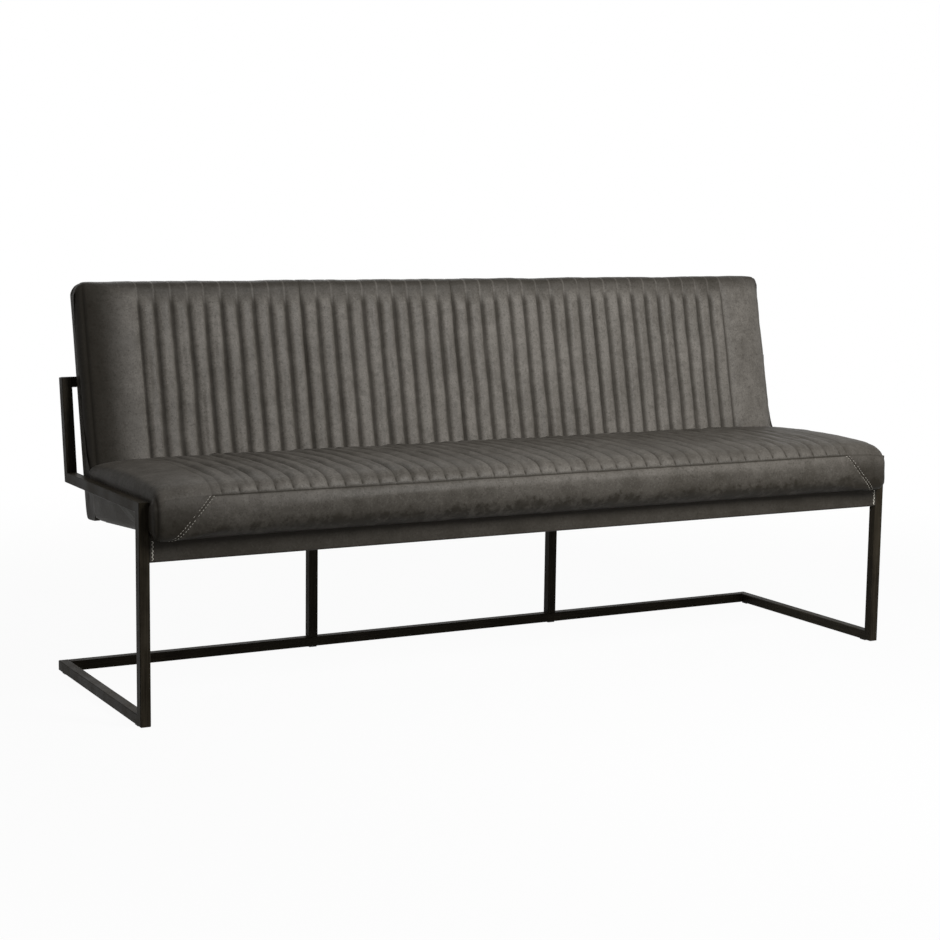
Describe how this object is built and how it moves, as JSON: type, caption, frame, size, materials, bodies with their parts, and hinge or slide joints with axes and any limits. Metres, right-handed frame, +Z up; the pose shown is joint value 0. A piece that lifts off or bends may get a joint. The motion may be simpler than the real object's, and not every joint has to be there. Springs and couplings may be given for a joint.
{
  "type": "upholstered dining bench",
  "caption": "Long dining bench with a channel-stitched leather seat and backrest on a welded square-tube frame with floor runners.",
  "frame": {"origin": "on the floor, under the middle of the bench's bounding box", "axes": "+Z up; X runs along the bench, left to right as seen from its front; the front of the seat faces -Y"},
  "size_m": [1.85, 0.578, 0.853],
  "materials": {
    "frame_steel": "black powder coat, low sheen",
    "leather": "waxed, slightly mottled charcoal-brown, semi-matte",
    "foam": "upholstery foam, hidden",
    "plywood": "raw plywood, hidden",
    "dust_cloth": "black non-woven cloth",
    "black_plastic": "black moulded plastic",
    "fastener_steel": "blackened zinc"
  },
  "bodies": {
    "root": {"back_board": "plywood", "back_bolts": "fastener_steel", "back_channel_cover": "leather", "back_crossbar": "frame_steel", "back_foam": "foam", "back_rear_cover": "leather", "floor_glides": "black_plastic", "front_rail": "frame_steel", "front_rail_sleeve": "leather", "left_back_end_cover": "leather", "left_back_upright": "frame_steel", "left_floor_runner": "frame_steel", "left_front_leg": "frame_steel", "left_rear_post": "frame_steel", "left_seat_bearer": "frame_steel", "left_seat_end_cover": "leather", "left_seat_rail": "frame_steel", "rear_floor_rail": "frame_steel", "right_back_end_cover": "leather", "right_back_upright": "frame_steel", "right_floor_runner": "frame_steel", "right_front_leg": "frame_steel", "right_rear_post": "frame_steel", "right_seat_bearer": "frame_steel", "right_seat_end_cover": "leather", "right_seat_rail": "frame_steel", "seat_board": "plywood", "seat_channel_cover": "leather", "seat_dust_cover": "dust_cloth", "seat_foam": "foam", "seat_front_cover": "leather", "seat_screws": "fastener_steel", "tube_end_caps": "black_plastic"}
  },
  "joints": []
}
